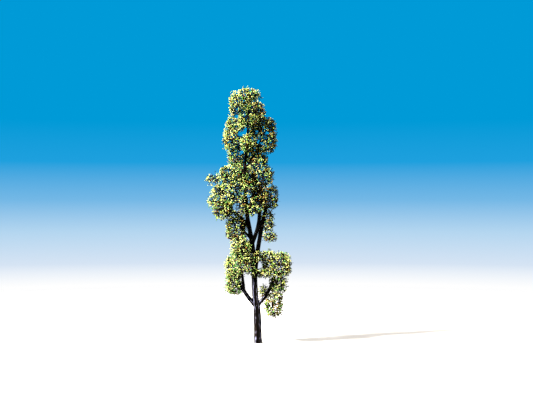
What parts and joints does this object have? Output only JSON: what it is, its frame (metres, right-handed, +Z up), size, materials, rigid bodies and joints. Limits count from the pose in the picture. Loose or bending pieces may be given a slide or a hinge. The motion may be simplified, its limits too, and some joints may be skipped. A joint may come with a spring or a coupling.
{
  "type": "model lombardy poplar tree",
  "caption": "Slim upright model poplar: a fluted moulded trunk on a flat foot, bent-out boughs, and a tall narrow crown of crumbly foam clumps with gaps between them.",
  "frame": {"origin": "middle of the flat cut under the trunk, at ground level", "axes": "+Z up along the tree's height, +X to the viewer's right in the picture's view, +Y away from the viewer"},
  "size_m": [0.0502, 0.0263, 0.15],
  "materials": {
    "bark": "moulded plastic with fine flutes, semi-matte",
    "foam_olive": "crumbled foam granules, fully matte",
    "foam_green": "crumbled foam granules, fully matte",
    "foam_straw": "crumbled foam granules, fully matte",
    "foam_moss": "crumbled foam granules, fully matte"
  },
  "bodies": {
    "root": {"trunk": "bark", "bough_left_low": "bark", "bough_left_upright": "bark", "bough_left_outer": "bark", "bough_right_low": "bark", "bough_left_mid": "bark", "bough_left_wide": "bark", "bough_right_mid": "bark", "bough_right_long": "bark", "bough_right_inner": "bark", "bough_left_high": "bark", "bough_right_high": "bark", "bough_back": "bark", "crown_tip": "foam_olive", "crown_left": "foam_green", "crown_right": "foam_straw", "crown_back": "foam_moss", "crown_front": "foam_olive", "shoulder_left": "foam_green", "shoulder_right": "foam_straw", "shoulder_back": "foam_moss", "upper_left": "foam_olive", "upper_inner": "foam_green", "upper_right": "foam_straw", "upper_front": "foam_moss", "upper_back": "foam_olive", "waist_left": "foam_green", "waist_right": "foam_straw", "waist_front": "foam_moss", "arm_left": "foam_olive", "arm_left_tip": "foam_green", "belly_left": "foam_straw", "belly_right": "foam_moss", "belly_back": "foam_olive", "belly_front": "foam_green", "wide_left_top": "foam_straw", "wide_left_low": "foam_moss", "wide_left_tip": "foam_olive", "wide_left_back": "foam_green", "column_left": "foam_straw", "column_right": "foam_moss", "column_back": "foam_olive", "middle_right": "foam_green", "edge_right": "foam_straw", "edge_right_low": "foam_moss", "edge_right_drop": "foam_olive", "middle_left": "foam_green", "skirt_left": "foam_straw", "skirt_front": "foam_moss", "skirt_inner": "foam_olive", "skirt_back": "foam_green", "bridge_front": "foam_straw", "low_right_inner": "foam_moss", "low_right_outer": "foam_olive", "hang_right_top": "foam_green", "hang_right_low": "foam_straw", "tuft_right": "foam_moss", "low_left_top": "foam_olive", "low_left_middle": "foam_green", "low_left_low": "foam_straw"}
  },
  "joints": []
}
